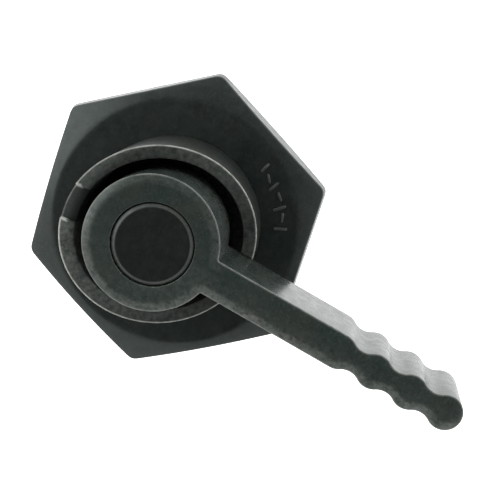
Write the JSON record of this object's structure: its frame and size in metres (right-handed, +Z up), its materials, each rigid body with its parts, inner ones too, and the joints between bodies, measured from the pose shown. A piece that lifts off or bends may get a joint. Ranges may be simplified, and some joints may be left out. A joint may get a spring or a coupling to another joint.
{
  "type": "seacock valve",
  "caption": "Quarter-turn angle seacock: plastic body with threaded inlet and side outlet, L-bored ball, hexagon bonnet and scalloped lever.",
  "frame": {"origin": "centre of the inlet's bottom face, on the common axis of inlet, ball and stem", "axes": "+Z up along the stem to the lever; +X along the lever at rest; the outlet points along -Y"},
  "size_m": [0.1458, 0.0952, 0.15],
  "materials": {
    "valve_body": "glass-filled nylon, greenish black, moulded satin",
    "bonnet_nut": "glass-filled nylon, near black, fine moulded grain",
    "turning_collar": "glass-filled nylon, greenish black, scuffed rim",
    "lever": "glass-filled nylon, greenish black, semi-gloss at grazing angles",
    "cap_plug": "black moulded plastic, fine grain",
    "drain_plug": "glass-filled nylon, moulded",
    "stem": "machined glass-filled nylon",
    "ball": "polished glass-filled nylon",
    "seat_ptfe": "white PTFE, waxy",
    "acetal": "natural acetal",
    "seal_rubber": "black nitrile rubber",
    "steel": "stainless steel, turned"
  },
  "bodies": {
    "valve": {"valve_body": "valve_body", "bonnet_nut": "bonnet_nut", "bonnet_lock_screw": "steel", "bonnet_o_ring": "seal_rubber", "lower_seat": "seat_ptfe", "outlet_seat": "seat_ptfe", "upper_seat": "seat_ptfe", "inlet_connector": "valve_body", "inlet_o_ring": "seal_rubber", "outlet_connector": "valve_body", "outlet_o_ring": "seal_rubber", "thrust_washer": "acetal", "gland_bush": "acetal", "slip_washer": "acetal", "stop_pin": "steel", "drain_plug": "drain_plug", "drain_plug_washer": "seal_rubber"},
    "lever_set": {"lever": "lever", "turning_collar": "turning_collar", "cap_plug": "cap_plug", "lever_screw": "steel", "lever_washer": "steel", "stem": "stem", "ball": "ball", "stem_o_ring_lower": "seal_rubber", "stem_o_ring_upper": "seal_rubber"}
  },
  "joints": [
    {"name": "lever_turn", "type": "hinge", "parent": "valve", "child": "lever_set", "pos_m": [0, 0, 0.12], "axis": [0, 0, 1], "range_deg": [-90, 0]}
  ]
}
